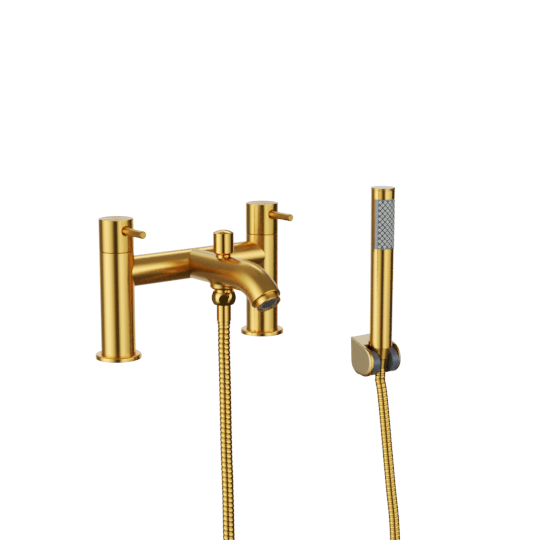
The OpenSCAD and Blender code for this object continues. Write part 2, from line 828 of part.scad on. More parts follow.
// A smooth curve through points, with some steps between each pair
function curve_step(a, b, c, d, t) =
    b + t * ((c - a) / 2 + t * (a - 2.5 * b + 2 * c - d / 2 + t * (1.5 * (b - c) + (d - a) / 2)));
function curve(p, steps) = let (n = len(p)) concat(
    [for (i = [0:n - 2], k = [0:steps - 1])
        curve_step(p[max(i - 1, 0)], p[i], p[i + 1], p[min(i + 2, n - 1)], k / steps)],
    [p[n - 1]]
);
function run_lengths(p) = [
    for (i = 0, s = 0; i < len(p); s = s + (i + 1 < len(p) ? norm(p[i + 1] - p[i]) : 0), i = i + 1) s
];

mixer_start = [0, -diverter_y, mixer_hose_z];
mixer_path = curve(concat(
    [mixer_start, mixer_start - [0, 0, lead]], mixer_points, [coil_in - lead * coil_dir(0), coil_in]
), 6);
coil_path = concat(
    [coil_in], [for (angle = [0:5:coil_sweep]) coil_point(angle)], [coil_out]
);
handset_path = curve(concat(
    [coil_out, coil_out + lead * coil_dir(coil_sweep)], handset_points,
    [handset_hose - [0, 0, lead], handset_hose - [0, 0, lead / 2], handset_hose]
), 6);

// A ribbed tube with its bore along a path; side_dir is never along the path
module ribbed_hose(path, side_dir) {
    runs = run_lengths(path);
    total = runs[len(runs) - 1];
    tables = [for (axis = [0:2]) [for (i = [0:len(path) - 1]) [runs[i], path[i][axis]]]];
    ribs = max(2, floor(total / rib_pitch));
    outer_n = 2 * ribs + 1;
    inner_n = ceil(ribs / 2) + 1;
    point = function (s) [for (axis = [0:2]) lookup(s, tables[axis])];
    way = function (s) unit(point(min(total, s + 1)) - point(max(0, s - 1)));
    outer = [for (i = [0:outer_n - 1]) let (s = total * i / (outer_n - 1))
        each ring_at(point(s), way(s), side_dir, hose_d / 2 - (i % 2) * rib_depth, hose_sides)];
    inner = [for (i = [0:inner_n - 1]) let (s = total * i / (inner_n - 1))
        each ring_at(point(s), way(s), side_dir, hose_bore / 2, hose_sides)];
    first = len(outer);
    ends = concat(
        [for (k = [0:hose_sides - 1]) let (m = (k + 1) % hose_sides)
            each [[k, m, first + k], [m, first + m, first + k]]],
        flipped([for (k = [0:hose_sides - 1])
            let (m = (k + 1) % hose_sides, o = (outer_n - 1) * hose_sides)
            let (q = first + (inner_n - 1) * hose_sides)
            each [[o + k, o + m, q + k], [o + m, q + m, q + k]]])
    );
    polyhedron(concat(outer, inner), concat(
        [for (i = [0:outer_n - 2]) each band(0, i, hose_sides)],
        flipped([for (i = [0:inner_n - 2]) each band(first, i, hose_sides)]),
        ends
    ));
}

module hose_mixer_stretch() { color(brass) ribbed_hose(mixer_path, [0.41, 0.91, 0]); }
module hose_coil() { color(brass) ribbed_hose(coil_path, [0, 0, 1]); }
module hose_handset_stretch() { color(brass) ribbed_hose(handset_path, [0.66, -0.75, 0]); }

coil_runs = run_lengths(coil_path);
coil_least_gap = min([
    for (i = [0:len(coil_path) - 1], j = [i + 1:1:len(coil_path) - 1])
        if (coil_runs[j] - coil_runs[i] > 4 * hose_d) norm(coil_path[j] - coil_path[i])
]) - hose_d;
function total_run(p) = let (r = run_lengths(p)) r[len(r) - 1];
echo(least_gap_of_the_coil_to_itself = coil_least_gap);
echo(hose_length = total_run(mixer_path) + total_run(coil_path) + total_run(handset_path));

module coil_tie() {
    tie_angle = 32;
    tie_t = 0.8;
    tie_w = 8;
    hold_r = hose_d / 2 + 0.15;
    middle = coil_point(tie_angle) + [0, 0, coil_rise / 2];
    color(rubber) translate(middle) rotate([0, 0, coil_start + tie_angle]) rotate([90, 0, 0])
        translate([0, 0, -tie_w / 2]) linear_extrude(tie_w) difference() {
            hull() for (z = [-coil_rise / 2, coil_rise / 2])
                translate([0, z]) circle(r = hold_r + tie_t, $fn = 32);
            hull() for (z = [-coil_rise / 2, coil_rise / 2])
                translate([0, z]) circle(r = hold_r, $fn = 32);
        }
}

// Handset

// A sector of a tube that faces the bather, between two radii
module facing_sector(inner_r, outer_r, z, height, span) {
    translate([0, 0, z]) rotate([0, 0, plate_turn - 90 - span / 2]) rotate_extrude(angle = span)
        translate([inner_r, 0]) square([outer_r - inner_r, height]);
}

module handset_tube() {
    gap_angle = 2 * plate_gap / plate_r * 180 / PI;
    color(brass) at_handset() difference() {
        translate([0, 0, tube_z]) cylinder(d1 = handset_low_d, d2 = handset_top_d, h = handset_l);
        translate([0, 0, tube_z - over]) cylinder(d = handset_bore, h = handset_l + 2 * over);
        facing_sector(handset_bore / 2 - over, handset_top_d, plate_z - plate_gap, plate_l + 2 * plate_gap,
            plate_span + gap_angle);
    }
}

module handset_cap() {
    cap_r = handset_top_d / 2;
    spigot_r = handset_bore / 2 - seat_gap;
    cap_spigot = plate_inset - 2;
    color(brass) at_handset() turned([
        [0, tube_top - cap_spigot], [spigot_r, tube_top - cap_spigot], [spigot_r, tube_top],
        [cap_r - edge / 2, tube_top], [cap_r, tube_top + edge / 2],
        [cap_r + edge / 2, tube_top + cap_h - edge],
        [cap_r, tube_top + cap_h], [0, tube_top + cap_h]
    ]);
}

// Puts its children at each nozzle, with Z out of the plate
module at_nozzles() {
    row_step = (plate_l - 2 * row_margin) / (nozzle_rows - 1);
    middle = (nozzle_columns - 1) / 2;
    for (column = [0:nozzle_columns - 1]) {
        rows = nozzle_rows - (column + middle) % 2;
        for (row = [0:rows - 1])
            translate([0, 0, plate_z + plate_l / 2 + (row - (rows - 1) / 2) * row_step])
                rotate([0, 0, plate_turn + (column - middle) * nozzle_step]) rotate([90, 0, 0])
                    children();
    }
}

module spray_plate() {
    color(pale_plastic) at_handset() difference() {
        union() {
            facing_sector(plate_in_r, plate_r, plate_z, plate_l, plate_span);
            at_nozzles() translate([0, 0, plate_r - over])
                cylinder(d = nozzle_d, h = over + nozzle_h, $fn = 4);
        }
        at_nozzles() translate([0, 0, plate_in_r - over])
            cylinder(d = nozzle_hole, h = handset_top_d, $fn = 6);
    }
}

module spray_chamber() {
    chamber_r = handset_bore / 2 - seat_gap;
    way_r = handset_way_d / 2;
    wall = 1.5;
    low = plate_z - 2 * wall;
    high = tube_top - plate_inset + 2;
    spigot_top = tube_z + spigot_l;
    color(grey_plastic) at_handset() difference() {
        turned([
            [way_r, spigot_top], [way_r + wall, spigot_top], [way_r + wall, low], [chamber_r, low],
            [chamber_r, high], [0, high], [0, high - wall], [chamber_r - wall, high - wall],
            [chamber_r - wall, low + wall], [way_r, low + wall]
        ]);
        facing_sector(chamber_r - 2 * wall, chamber_r + wall, plate_z + wall, plate_l - 2 * wall,
            nozzle_step * nozzle_columns);
    }
}

module handset_neck() {
    spigot_r = handset_bore / 2 - seat_gap;
    thread_r = cone_bore / 2 - seat_gap;
    way_r = handset_way_d / 2;
    spigot_top = tube_z + spigot_l;
    tip_z = swivel_z + spigot_t + 3;
    color(brass) at_handset() turned([
        [way_r, tip_z], [thread_r, tip_z], [thread_r, neck_end],
        [neck_d / 2, neck_end], [shoulder_d / 2, tube_z - edge],
        [handset_low_d / 2 - edge, tube_z - edge], [handset_low_d / 2, tube_z], [spigot_r, tube_z],
        [spigot_r, spigot_top], [way_r, spigot_top]
    ]);
}

module neck_washer() {
    color(rubber) at_handset() translate([0, 0, cone_top])
        ring(neck_d / 2 + seat_gap, cone_bore / 2, neck_washer_t);
}

module cone_nut() {
    color(brass) at_handset() difference() {
        translate([0, 0, cone_z]) cylinder(d1 = cone_low_d, d2 = neck_d, h = cone_h);
        translate([0, 0, swivel_z - body_gap]) cylinder(d = cone_bore, h = cone_h);
        translate([0, 0, cone_z - over]) cylinder(r = tail_d / 2 + running, h = cone_h);
    }
}

// The swivel tail of the hose, free to turn inside the conical nut
module handset_ferrule() {
    head_r = cone_bore / 2 - 2 * running;
    color(brass) at_handset() turned([
        [hose_bore / 2, handset_hose_z], [hose_d / 2 + edge, handset_hose_z],
        [hose_d / 2 + edge, cone_z - body_gap], [tail_d / 2, cone_z - body_gap], [tail_d / 2, swivel_z],
        [head_r, swivel_z], [head_r, swivel_z + spigot_t], [hose_bore / 2, swivel_z + spigot_t]
    ]);
}

// Wall bracket, drawn from the pivot: X back to the wall, Y up

corner = [wall_back, corner_z];

// Angle of the line that touches two circles, on the right of the way from the first to the second
function touch(first, first_r, second, second_r) = let (way = second - first)
    atan2(way.y, way.x) - acos((first_r - second_r) / norm(way));
function arc(middle, radius, from, to) =
    [for (k = [0:12]) let (a = from + (to - from) * k / 12) middle + radius * [cos(a), sin(a)]];

brow = [2, 3];
brow_from = touch(corner, 0, brow, brow_r) + 360;
nose_from = touch(brow, brow_r, [0, 0], cheek_r) + 360;
heel_from = touch([0, 0], cheek_r, heel, heel_r) + 360;
heel_to = touch(heel, heel_r, corner, 0) + 360;

// Outline of a cheek: a fuller brow, a round nose, a round heel and a straight back, grown by a gap
module cheek_outline(gap) {
    polygon(concat(
        [corner],
        arc(brow, brow_r + gap, brow_from, nose_from),
        arc([0, 0], cheek_r + gap, nose_from, heel_from),
        arc(heel, heel_r + gap, heel_from, heel_to)
    ));
}

// The dark tail of the wall plate: a crescent round the heel of a cheek
module tail_outline() {
    difference() {
        intersection() {
            translate(heel) circle(r = heel_r + tail_t);
            translate([heel.x + 2, heel.y - 2 * heel_r]) square([2 * heel_r, 2 * heel_r]);
        }
        cheek_outline(seat_gap);
    }
}

// A cheek's rounded rim: the share of the outline that is left by each step, and the share of its height
rim_share = [0.985, 0.96, 0.94];
rim_rise = [0, 0.5, 0.86, 1];
rim_centre = corner - [2, 7];
function rim_left(i) = i == 0 ? 1 : rim_left(i - 1) * rim_share[i - 1];

module cheek() {
    linear_extrude(cheek_t) cheek_outline(0);
    for (i = [0:2])
        translate([rim_centre.x, rim_centre.y, cheek_t + bevel_t * rim_rise[i]])
            linear_extrude(bevel_t * (rim_rise[i + 1] - rim_rise[i]), scale = rim_share[i])
                scale(rim_left(i)) translate(-rim_centre) cheek_outline(0);
}

module bracket_shell() {
    shell_w = 2 * cheek_x;
    pin_reach = cheek_x + pin_seat;
    color(brass) at_pivot() difference() {
        union() {
            for (side = [-1, 1]) mirror([0, 0, side < 0 ? 1 : 0]) translate([0, 0, cheek_x]) cheek();
            difference() {
                translate([0, 0, -shell_w / 2]) linear_extrude(shell_w) polygon([
                    [wall_back, corner_z - edge], [cover_front, cover_z], [cover_front, cover_z - cover_t],
                    [wall_back - plate_back_t, cover_z - cover_t], [wall_back, cover_z - cover_t]
                ]);
                translate([-pivot_back, 0, 0]) rotate([-90, 0, 0])
                    cylinder(r = handset_low_d / 2 + over, h = 2 * corner_z);
            }
        }
        translate([0, 0, -pin_reach]) cylinder(r = pin_d / 2 + seat_gap, h = 2 * pin_reach);
    }
}

module bracket_wall_plate() {
    tall_top = cover_z - cover_t - seat_gap;
    half_w = cheek_x - seat_gap;
    color(grey_plastic) at_pivot() difference() {
        union() {
            translate([0, 0, -half_w]) linear_extrude(2 * half_w) intersection() {
                translate([wall_back - plate_back_t, -cheek_r]) square([plate_back_t, tall_top + cheek_r]);
                hull() {
                    translate(heel) circle(r = heel_r + tail_t);
                    translate(corner - [edge, edge]) square(edge);
                }
            }
            translate([0, 0, -cheek_x - cheek_t]) linear_extrude(2 * (cheek_x + cheek_t)) tail_outline();
        }
        for (side = [-1, 1]) translate([0, screw_rise + side * screw_pitch / 2, 0]) rotate([0, 90, 0])
            cylinder(d = screw_d, h = 2 * wall_back);
    }
}

// The seat follows the conical neck and the conical nut with a little air
module cradle_seat() {
    seat_r = neck_d / 2 + body_gap;
    mouth_r = shoulder_d / 2 + body_gap;
    low = neck_end - 3 * cheek_r;
    foot = tube_z - edge - body_gap;
    tube_r = handset_low_d / 2 + body_gap;
    turned([
        [0, low], [seat_r, low], [seat_r, neck_end - body_gap], [mouth_r, foot],
        [tube_r, foot], [tube_r, tube_z + cheek_r], [0, tube_z + cheek_r]
    ]);
}

module bracket_cradle() {
    color(grey_plastic) difference() {
        at_pivot() translate([0, 0, -cradle_w / 2]) difference() {
            union() {
                cylinder(r = hub_r, h = cradle_w);
                intersection() {
                    cylinder(r = prong_r, h = cradle_w);
                    translate([-2 * prong_r, -2 * prong_r, 0])
                        cube([2 * prong_r + 2, 4 * prong_r, cradle_w]);
                }
            }
            for (z = [-over, cradle_w - pin_in - body_gap])
                translate([0, 0, z]) cylinder(r = pin_d / 2 + running, h = pin_in + body_gap + over);
        }
        at_handset() cradle_seat();
        translate([handset_x - slot_w / 2, handset_y - 3 * prong_r, pivot_z - 2 * prong_r])
            cube([slot_w, 3 * prong_r, 4 * prong_r]);
    }
}

module pivot_pins() {
    pin_l = pin_in + body_gap + pin_seat - seat_gap;
    color(steel) at_pivot() for (side = [-1, 1]) mirror([0, 0, side < 0 ? 1 : 0])
        translate([0, 0, cradle_w / 2 - pin_in]) cylinder(d = pin_d, h = pin_l);
}

left_pillar();
right_pillar();
left_base_flange();
right_base_flange();
base_seals();
left_valve_body();
right_valve_body();
left_fixed_disc();
right_fixed_disc();
seat_seals();
left_moving_disc();
right_moving_disc();
left_spindle();
right_spindle();
left_spindle_seal();
right_spindle_seal();
left_handle();
right_handle();
left_lever();
right_lever();
left_grub_screw();
right_grub_screw();
bridge_tube();
spout();
aerator_housing();
aerator_insert();
aerator_washer();
diverter_bush();
diverter_knob();
diverter_stem();
diverter_plunger();
diverter_seal();
diverter_spring();
outlet_nipple();
hose_washer();
union_nut();
mixer_ferrule();
hose_mixer_stretch();
hose_coil();
hose_handset_stretch();
coil_tie();
handset_tube();
handset_cap();
spray_plate();
spray_chamber();
handset_neck();
neck_washer();
cone_nut();
handset_ferrule();
bracket_shell();
bracket_wall_plate();
bracket_cradle();
pivot_pins();
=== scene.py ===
# %% [markdown]
# # Dressing a bath shower mixer
# The imported model is a fixed frame of turned, drilled and bent solids in metres.
# This lesson gives it a camera, a ribbed hose, a spring, a studio and its finishes.

# %% Load the frame
import json
import math

import bmesh
import bpy
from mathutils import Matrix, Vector


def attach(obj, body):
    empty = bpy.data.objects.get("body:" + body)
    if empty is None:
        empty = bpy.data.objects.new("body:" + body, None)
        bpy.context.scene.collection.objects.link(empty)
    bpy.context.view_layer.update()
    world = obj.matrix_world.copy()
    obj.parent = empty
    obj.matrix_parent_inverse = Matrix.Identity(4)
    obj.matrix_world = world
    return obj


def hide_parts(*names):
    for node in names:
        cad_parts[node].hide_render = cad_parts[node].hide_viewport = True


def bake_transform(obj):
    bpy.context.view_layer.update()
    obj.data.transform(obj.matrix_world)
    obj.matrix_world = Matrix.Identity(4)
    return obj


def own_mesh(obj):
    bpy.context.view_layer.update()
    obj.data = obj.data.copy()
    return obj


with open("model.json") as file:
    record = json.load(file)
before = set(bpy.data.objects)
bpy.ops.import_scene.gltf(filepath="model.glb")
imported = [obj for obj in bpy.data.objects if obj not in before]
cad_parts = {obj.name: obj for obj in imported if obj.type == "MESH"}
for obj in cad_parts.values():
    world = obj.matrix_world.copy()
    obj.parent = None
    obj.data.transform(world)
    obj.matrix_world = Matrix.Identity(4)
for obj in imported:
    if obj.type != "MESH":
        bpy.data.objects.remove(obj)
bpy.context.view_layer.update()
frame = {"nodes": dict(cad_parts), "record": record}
nodes = frame["nodes"]
print("pieces loaded:", len(nodes))

# %% [markdown]
# The photograph was taken from the left and a little above, with a long lens.
# The tap holes stand at 180 mm centres, which fixes the camera's distance. The camera is aimed at the middle
# of the picture without a lens shift, so it can be moved round the set and still hold it in the frame.

# %% Camera
IMAGE = 540
FOCAL_PIXELS = 1407.7
SET_DISTANCE = 1.4
eye = Vector((-0.8094, -1.1603, 0.3433))
target = eye + SET_DISTANCE * Vector((0.6066, 0.7733, -0.1847))

lens = bpy.data.cameras.new("studio_camera")
lens.sensor_width = 36.0
lens.lens = FOCAL_PIXELS / IMAGE * lens.sensor_width
lens.clip_start = 0.01
camera = bpy.data.objects.new("studio_camera", lens)
camera.location = eye
camera.rotation_euler = (target - eye).to_track_quat("-Z", "Y").to_euler()
bpy.context.collection.objects.link(camera)
bpy.context.scene.camera = camera
print("lens %.1f mm, %.2f m away" % (lens.lens, (target - eye).length))

# %% [markdown]
# The hose is one long tube: it hangs from the mixer, lies in a tied coil below the picture, and climbs to the
# handset. A curve through listed points gives the hanging stretches, and a formula gives the coil.
# The points are those of the solid hose, so the dressed hose follows the same route.

# %% Points of the hanging stretches
HOSE_D = 0.013
LEAD = 0.013
MIXER_END = Vector((0.0, -0.054, 0.0316))
HANDSET_END = Vector((0.2755, 0.014, -0.0748))
MIXER_POINTS = [
    (0, -0.054, 0.006), (0, -0.055, -0.020), (0, -0.056, -0.060), (0, -0.057, -0.100),
    (0, -0.059, -0.140), (0, -0.060, -0.180), (0, -0.061, -0.220), (0, -0.061, -0.260),
    (0.001, -0.061, -0.290), (0.007, -0.063, -0.323), (0.027, -0.071, -0.345), (0.054, -0.082, -0.354),
]
HANDSET_POINTS = [
    (0.222, -0.064, -0.340), (0.246, -0.042, -0.333), (0.264, -0.027, -0.314), (0.273, -0.019, -0.287),
    (0.275, -0.014, -0.250), (0.275, -0.008, -0.215), (0.275, -0.001, -0.170), (0.275, 0.005, -0.130),
    (0.275, 0.010, -0.100),
]
print("points by hand:", len(MIXER_POINTS) + len(HANDSET_POINTS))

# %% The coil
COIL_CENTRE = (0.137, -0.038)
COIL_R = 0.075
COIL_START, COIL_SWEEP, COIL_STEP = 246, 425, 5
COIL_RISE = 0.0138
CLIMB_FROM, CLIMB_TO = 235, 325
LAY_Z = -0.354


def coil_point(angle):
    climb = max(0.0, min(1.0, (angle - CLIMB_FROM) / (CLIMB_TO - CLIMB_FROM)))
    turn = math.radians(COIL_START + angle)
    height = LAY_Z + COIL_RISE * climb * climb * (3 - 2 * climb)
    x, y = COIL_CENTRE
    return Vector((x + COIL_R * math.cos(turn), y + COIL_R * math.sin(turn), height))


def coil_way(angle):
    turn = math.radians(COIL_START + angle)
    return Vector((-math.sin(turn), math.cos(turn), 0))


coil_in = coil_point(0) - LEAD * coil_way(0)
coil_out = coil_point(COIL_SWEEP) + LEAD * coil_way(COIL_SWEEP)
coil_route = [coil_in] + [coil_point(a) for a in range(0, COIL_SWEEP + 1, COIL_STEP)] + [coil_out]
print("coil of %.2f turns" % (COIL_SWEEP / 360))

# %% The route of the hose


def curve_through(points, steps=6):
    """A smooth line that passes through every point, by the formula that the solid hose uses."""
    points = [Vector(p) for p in points]
    made = []
    for i in range(len(points) - 1):
        a, b, c, d = (points[max(0, min(len(points) - 1, j))] for j in (i - 1, i, i + 1, i + 2))
        for k in range(steps):
            t = k / steps
            made.append(
                b + t * ((c - a) / 2 + t * (a - 2.5 * b + 2 * c - d / 2 + t * (1.5 * (b - c) + (d - a) / 2)))
            )
    return made + [points[-1]]


def route_length(route):
    return sum((b - a).length for a, b in zip(route, route[1:]))


down = Vector((0, 0, -LEAD))
mixer_route = curve_through(
    [MIXER_END, MIXER_END + down, *MIXER_POINTS, coil_in - LEAD * coil_way(0), coil_in]
)
handset_route = curve_through(
    [coil_out, coil_out + LEAD * coil_way(COIL_SWEEP), *HANDSET_POINTS,
     HANDSET_END + down, HANDSET_END + down / 2, HANDSET_END]
)
print("hose %.3f m" % sum(route_length(r) for r in (mixer_route, coil_route, handset_route)))

# %% [markdown]
# A shower hose is a strip wound into rounded ribs. One rib is a short profile, and a row of them spun round
# an axis makes a straight ribbed tube. Each slice of that tube is then laid on the route, square to it.
# Spinning first and bending after keeps the ribs even, which a tapered curve object would not.

# %% A route that can be measured
WAY_REACH = 0.002


class Route:
    """A line that can be asked for a place and a direction at any distance along it."""

    def __init__(self, points):
        self.points = [points[0]] + [b for a, b in zip(points, points[1:]) if (b - a).length > 1e-7]
        self.runs = [0.0]
        for a, b in zip(self.points, self.points[1:]):
            self.runs.append(self.runs[-1] + (b - a).length)
        self.length = self.runs[-1]

    def at(self, run):
        run = max(0.0, min(self.length, run))
        i = 0
        while i < len(self.runs) - 2 and self.runs[i + 1] < run:
            i += 1
        share = (run - self.runs[i]) / (self.runs[i + 1] - self.runs[i])
        return self.points[i].lerp(self.points[i + 1], share)

    def way(self, run):
        return (self.at(run + WAY_REACH) - self.at(run - WAY_REACH)).normalized()


print("stretch to the handset %.3f m" % Route(handset_route).length)

# %% A tube spun straight, then laid on a route
RIB = 0.00515
RIB_PROFILE = [
    (0.0, 0.87), (0.04, 0.88), (0.08, 0.95), (0.17, 0.975), (0.27, 0.965), (0.33, 0.945), (0.40, 0.985),
    (0.60, 1.0), (0.80, 0.99), (0.91, 0.955), (0.96, 0.88),
]
SLANT, SQUARE_RIBS = 0.25, 3
HOSE_SIDES = 24


def spun(profile, sides):
    """A straight tube along Z, spun from (height, radius) pairs and closed at both ends."""
    bm = bmesh.new()
    line = [bm.verts.new((r, 0, z)) for z, r in profile]
    for a, b in zip(line, line[1:]):
        bm.edges.new((a, b))
    bmesh.ops.spin(
        bm, geom=bm.verts[:] + bm.edges[:], cent=(0, 0, 0), axis=(0, 0, 1), dvec=(0, 0, 0),
        angle=math.tau, steps=sides, use_merge=True, use_duplicate=False,
    )
    bmesh.ops.remove_doubles(bm, verts=bm.verts[:], dist=1e-6)
    bmesh.ops.holes_fill(bm, edges=[e for e in bm.edges if e.is_boundary], sides=0)
    bmesh.ops.recalc_face_normals(bm, faces=bm.faces[:])
    return bm


def spun_ribs(count, rib, radius):
    """A straight ribbed tube whose ribs lean a little, as wound ribs do, and stand square at both ends."""
    profile = [(rib * (i + s), radius * r) for i in range(count) for s, r in RIB_PROFILE]
    bm = spun(profile + [(rib * count, radius * RIB_PROFILE[0][1])], HOSE_SIDES)
    fade = SQUARE_RIBS * rib
    for v in bm.verts:
        v.co.z += SLANT * v.co.y * min(1.0, v.co.z / fade, (rib * count - v.co.z) / fade)
    return bm


def lay_on(bm, route, side):
    """Lays a straight tube along Z on a route. side is a direction that the route never follows."""
    rings = {}
    for v in bm.verts:
        key = round(v.co.z, 7)
        if key not in rings:
            way = route.way(v.co.z)
            across = (side - side.dot(way) * way).normalized()
            rings[key] = (route.at(v.co.z), across, way.cross(across))
        place, across, over = rings[key]
        v.co = place + v.co.x * across + v.co.y * over


print("ribs of %.2f mm" % (1000 * RIB))

# %% A piece of hose
PATH_STEP = 0.004


def as_piece(bm, name, smooth=True):
    mesh = bpy.data.meshes.new(name)
    bm.to_mesh(mesh)
    bm.free()
    for face in mesh.polygons:
        face.use_smooth = smooth
    piece = bpy.data.objects.new(name, mesh)
    bpy.context.collection.objects.link(piece)
    return piece


def ribbed_hose(name, routes_and_sides):
    """One hose piece from one or more stretches that follow each other, and the path along its middle."""
    whole = bmesh.new()
    path = []
    for points, side in routes_and_sides:
        route = Route(points)
        count = max(1, round(route.length / RIB))
        tube = spun_ribs(count, route.length / count, HOSE_D / 2)
        lay_on(tube, route, Vector(side))
        part = bpy.data.meshes.new("stretch")
        tube.to_mesh(part)
        tube.free()
        whole.from_mesh(part)
        bpy.data.meshes.remove(part)
        steps = max(2, round(route.length / PATH_STEP))
        path += [route.at(route.length * k / steps) for k in range(steps + 1)][1 if path else 0:]
    piece = as_piece(whole, name)
    print(name, "%.3f m," % route_length(path), len(piece.data.polygons), "faces")
    return piece, path


print("path in steps of %.0f mm" % (1000 * PATH_STEP))

# %% [markdown]
# The hose is fixed to the mixer at one end and moves with the handset at the other, so it is made in three
# pieces that meet end to end. The first stays with the mixer. The solid hose is replaced by them.

# %% Three stretches of hose
LAST_STRETCH = 0.085
SAMPLES = 400
MIXER_SIDE, COIL_SIDE, HANDSET_SIDE = (0.41, 0.91, 0), (0, 0, 1), (0.66, -0.75, 0)
last_route = Route(handset_route)
split_run = last_route.length - LAST_STRETCH
runs = [last_route.length * k / SAMPLES for k in range(SAMPLES + 1)]
lower = [last_route.at(run) for run in runs if run < split_run] + [last_route.at(split_run)]
upper = [last_route.at(split_run)] + [last_route.at(run) for run in runs if run > split_run]

hose_mixer, mixer_path = ribbed_hose(
    "hose_from_mixer", [(mixer_route, MIXER_SIDE), (coil_route, COIL_SIDE)]
)
hose_lower, lower_path = ribbed_hose("hose_to_bracket", [(lower, HANDSET_SIDE)])
hose_upper, upper_path = ribbed_hose("hose_into_handset", [(upper, HANDSET_SIDE)])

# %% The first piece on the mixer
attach(hose_mixer, "mixer")
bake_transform(hose_lower)
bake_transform(hose_upper)
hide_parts("hose_mixer_stretch", "hose_coil")
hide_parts("hose_handset_stretch")
round(route_length(mixer_path), 3)
for piece, path in ((hose_lower, lower_path), (hose_upper, upper_path)):
    round(route_length(path), 3)
paths = (mixer_path, lower_path, upper_path)
print("three pieces of hose, %.3f m" % sum(route_length(path) for path in paths))

# %% [markdown]
# Inside the spout a spring holds the diverter down. The solid one can't shorten, so a round wire laid on a
# helix takes its place.

# %% The diverter's spring
SPRING_LOW, SPRING_HIGH = 0.07795, 0.0925
SPRING_R, SPRING_WIRE, SPRING_TURNS = 0.005, 0.0011, 4
TURN_STEPS, WIRE_STEPS, WIRE_SIDES = 24, 160, 10
helix = []
for k in range(TURN_STEPS * SPRING_TURNS + 1):
    turn = math.tau * k / TURN_STEPS
    rise = SPRING_LOW + (SPRING_HIGH - SPRING_LOW) * k / (TURN_STEPS * SPRING_TURNS)
    helix.append(Vector((SPRING_R * math.cos(turn), MIXER_END.y + SPRING_R * math.sin(turn), rise)))
helix_route = Route(helix)
wire = spun(
    [(helix_route.length * k / WIRE_STEPS, SPRING_WIRE / 2) for k in range(WIRE_STEPS + 1)], WIRE_SIDES
)
lay_on(wire, helix_route, Vector((0, 0, 1)))
spring = as_piece(wire, "diverter_wire_spring")
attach(spring, "mixer")
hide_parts("diverter_spring")
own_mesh(spring)
print("spring of %.0f mm wire" % (1000 * helix_route.length))

# %% [markdown]
# A finish is a small web of nodes. To read like arithmetic, a socket is wrapped in a class whose operators
# add Math nodes, so that `1 - mask` is an expression. Every other node comes from one method that takes the
# node's type, its settings and its inputs.

# %% Sockets that can be added and multiplied
DEGREE = math.pi / 180


class Socket:
    """One output of a node, usable in sums with numbers and other sockets."""

    def __init__(self, web, output):
        self.web, self.output = web, output

    def __add__(self, other):
        return self.web.arithmetic("ADD", self, other)

    def __sub__(self, other):
        return self.web.arithmetic("SUBTRACT", self, other)

    def __rsub__(self, other):
        return self.web.arithmetic("SUBTRACT", other, self)

    def __mul__(self, other):
        return self.web.arithmetic("MULTIPLY", self, other)

    def __truediv__(self, other):
        return self.web.arithmetic("DIVIDE", self, other)

    def __abs__(self):
        return self.web.arithmetic("ABSOLUTE", self)

    __radd__ = __add__
    __rmul__ = __mul__


class Web:
    """A node tree that is built by calls."""

    def __init__(self, tree):
        self.tree = tree
        tree.nodes.clear()

    def node(self, kind, settings=None, inputs=None, output=0):
        made = self.tree.nodes.new(kind)
        for name, value in (settings or {}).items():
            setattr(made, name, value)
        for name, value in (inputs or {}).items():
            if isinstance(value, Socket):
                self.tree.links.new(value.output, made.inputs[name])
            else:
                made.inputs[name].default_value = value
        return Socket(self, made.outputs[output]) if made.outputs else None

    def arithmetic(self, operation, *terms):
        return self.node("ShaderNodeMath", {"operation": operation}, dict(enumerate(terms)))

    def step(self, value, low, high):
        return self.node(
            "ShaderNodeMapRange", {"interpolation_type": "SMOOTHSTEP"},
            {"Value": value, "From Min": low, "From Max": high},
        )

    def window(self, value, rise, fall):
        """1 between two soft edges, which rise and fall over these ranges, and 0 outside."""
        return self.step(value, *rise) * (1 - self.step(value, *fall))

    def mix(self, share, first, second):
        return self.node(
            "ShaderNodeMix", {"data_type": "RGBA"}, {"Factor": share, 6: first, 7: second}, output=2
        )

    def angle(self, operation, *terms):
        """An inverse sine or tangent, in degrees."""
        return self.arithmetic(operation, *terms) / DEGREE


print("shader sums ready")

# %% [markdown]
# A product studio lights metal with what it reflects. Here the sky is a painted studio, laid out by bearing
# from the camera and by height, in degrees. Two soft panels stand in front, with a narrow dark gap between
# them where the camera is, so upright tubes show two cream bands beside a thin dark line. The left panel
# fades slowly towards the gap and the right one ends sharply, as the bands in the photograph do. A side panel
# stands at the right. A wall, two cards and a low panel stand behind the set, and show in its tops and edges.

# %% Studio light
WHITE = 1.0
LEFT_LIGHT, RIGHT_LIGHT, REAR_LIGHT, WALL_LIGHT = 1.35, 0.98, 0.4, 0.45
LEFT_CARD_LIGHT, RIGHT_CARD_LIGHT = 0.55, 1.1
DIM, DIM_LEFT, DIM_HIGH = 0.026, 0.05, 0.07
world = bpy.data.worlds.new("studio")
bpy.context.scene.world = world
world.use_nodes = True
sky = Web(world.node_tree)
look = sky.node("ShaderNodeTexCoord", output="Generated")
to_camera = eye - target
to_camera.z = 0
to_camera.normalize()
to_side = Vector((-to_camera.y, to_camera.x, 0))


def along(direction):
    return sky.node(
        "ShaderNodeVectorMath", {"operation": "DOT_PRODUCT"}, {0: look, 1: direction}, output="Value"
    )


